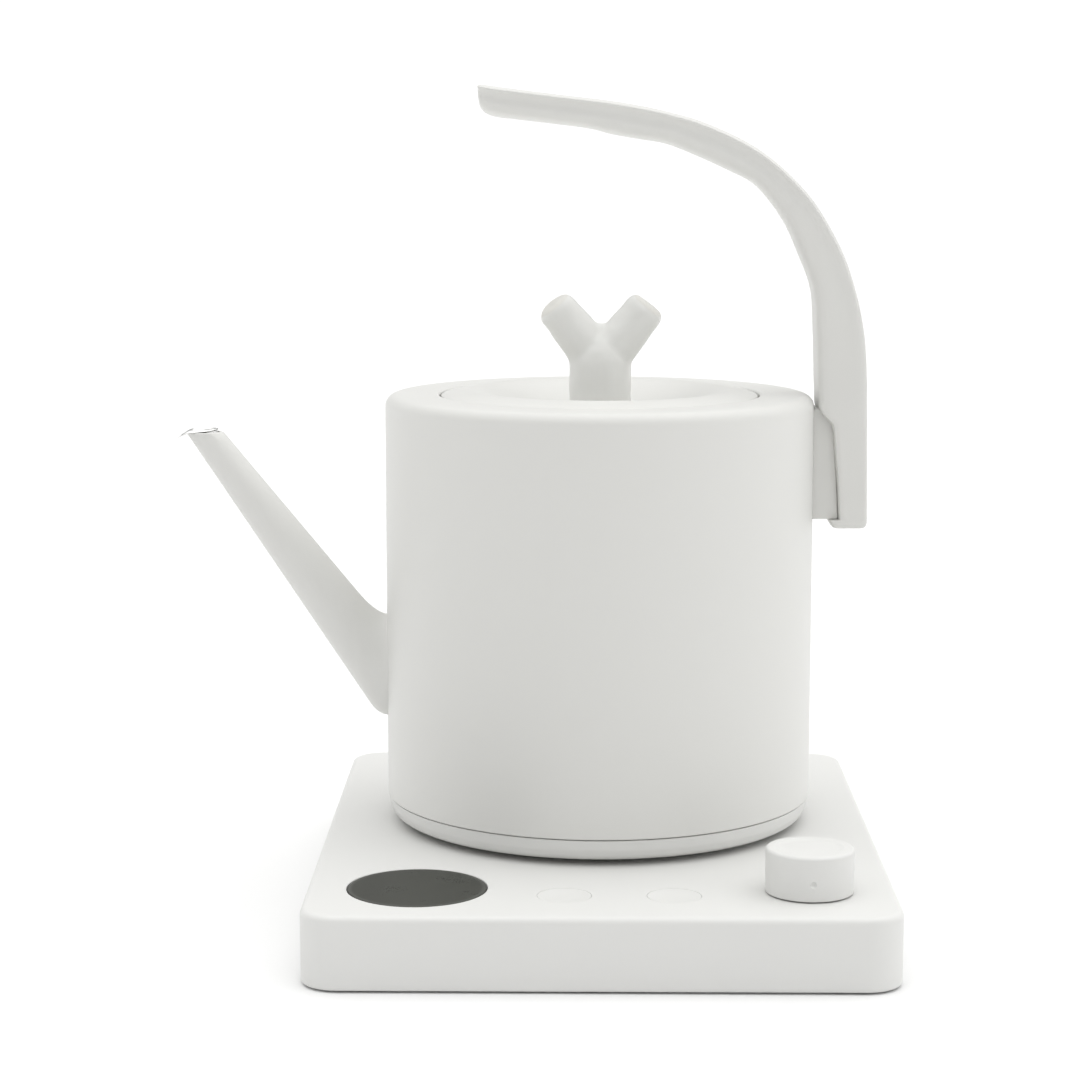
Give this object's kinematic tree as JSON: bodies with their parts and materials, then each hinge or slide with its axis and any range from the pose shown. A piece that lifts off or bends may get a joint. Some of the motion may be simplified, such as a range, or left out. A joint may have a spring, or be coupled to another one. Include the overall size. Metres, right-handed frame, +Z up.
{
  "type": "electric pouring kettle with powered base",
  "caption": "Electric pouring kettle: drum body, slim straight spout, cantilever handle and forked lid knob, on a slab base with display, keys and dial.",
  "frame": {"origin": "centre of the object's box, on the surface it stands on", "axes": "+Z up; the controls face -Y, the spout points to -X and the handle is on +X"},
  "size_m": [0.2078, 0.198, 0.2409],
  "materials": {
    "white_paint": "fine satin powder coat",
    "white_plastic": "satin moulding",
    "handle_plastic": "smooth satin coating",
    "knob_resin": "satin-gloss coating over a hand-shaped form",
    "grey_plastic": "moulded",
    "black_plastic": "moulded",
    "display_glass": "dark polished window",
    "steel": "brushed",
    "lip_steel": "polished stainless steel",
    "contact_brass": "bright",
    "silicone": "soft",
    "foot_rubber": "soft",
    "circuit_board": "lacquered"
  },
  "bodies": {
    "base": {"base_top_shell": "white_plastic", "base_bottom_cover": "white_plastic", "cover_screw_1": "steel", "cover_screw_2": "steel", "cover_screw_3": "steel", "cover_screw_4": "steel", "rubber_foot_1": "foot_rubber", "rubber_foot_2": "foot_rubber", "rubber_foot_3": "foot_rubber", "rubber_foot_4": "foot_rubber", "display_lens": "display_glass", "display_module": "black_plastic", "key_switch_left": "black_plastic", "key_switch_right": "black_plastic", "encoder_body": "grey_plastic", "control_board": "circuit_board", "power_board": "circuit_board", "power_relay": "black_plastic", "power_transformer": "black_plastic", "base_connector": "black_plastic", "cord_gland": "white_plastic"},
    "left_key": {"key_left": "white_plastic"},
    "right_key": {"key_right": "white_plastic"},
    "dial_rotor": {"encoder_rotor": "black_plastic"},
    "dial": {"control_dial": "white_plastic", "encoder_shaft": "steel"},
    "coupler": {"kettle_coupler": "black_plastic", "coupler_pin": "contact_brass", "coupler_ring": "contact_brass"},
    "kettle": {"kettle_body": "white_paint", "kettle_bottom_ring": "white_plastic", "ring_screw_1": "steel", "ring_screw_2": "steel", "ring_screw_3": "steel", "heating_plate": "steel", "heating_element": "steel", "temperature_probe": "steel", "spout": "white_paint", "spout_lip": "lip_steel", "handle_bracket": "handle_plastic", "handle": "handle_plastic", "handle_screw": "steel"},
    "lid": {"lid_cover": "white_paint", "lid_inner_cover": "steel", "lid_seal": "silicone", "lid_knob": "knob_resin", "lid_knob_screw": "steel"}
  },
  "joints": [
    {"name": "kettle_lift", "type": "slide", "parent": "base", "child": "coupler", "axis": [0, 0, 1], "range_m": [0, 0.06]},
    {"name": "kettle_swivel", "type": "hinge", "parent": "coupler", "child": "kettle", "pos_m": [0.02275, 0.0143, 0.0231], "axis": [0, 0, 1], "continuous": true},
    {"name": "lid_lift", "type": "slide", "parent": "kettle", "child": "lid", "axis": [0, 0, 1], "range_m": [0, 0.04]},
    {"name": "dial_turn", "type": "hinge", "parent": "base", "child": "dial_rotor", "pos_m": [0.0799, -0.0728, 0.012], "axis": [0, 0, 1], "continuous": true},
    {"name": "dial_press", "type": "slide", "parent": "dial_rotor", "child": "dial", "axis": [0, 0, -1], "range_m": [0, 0.0003], "stiffness_N_per_m": 2000, "springref_m": -0.0008},
    {"name": "left_key_press", "type": "slide", "parent": "base", "child": "left_key", "axis": [0, 0, -1], "range_m": [0, 0.0006], "stiffness_N_per_m": 1500, "springref_m": -0.0006},
    {"name": "right_key_press", "type": "slide", "parent": "base", "child": "right_key", "axis": [0, 0, -1], "range_m": [0, 0.0006], "stiffness_N_per_m": 1500, "springref_m": -0.0006}
  ]
}
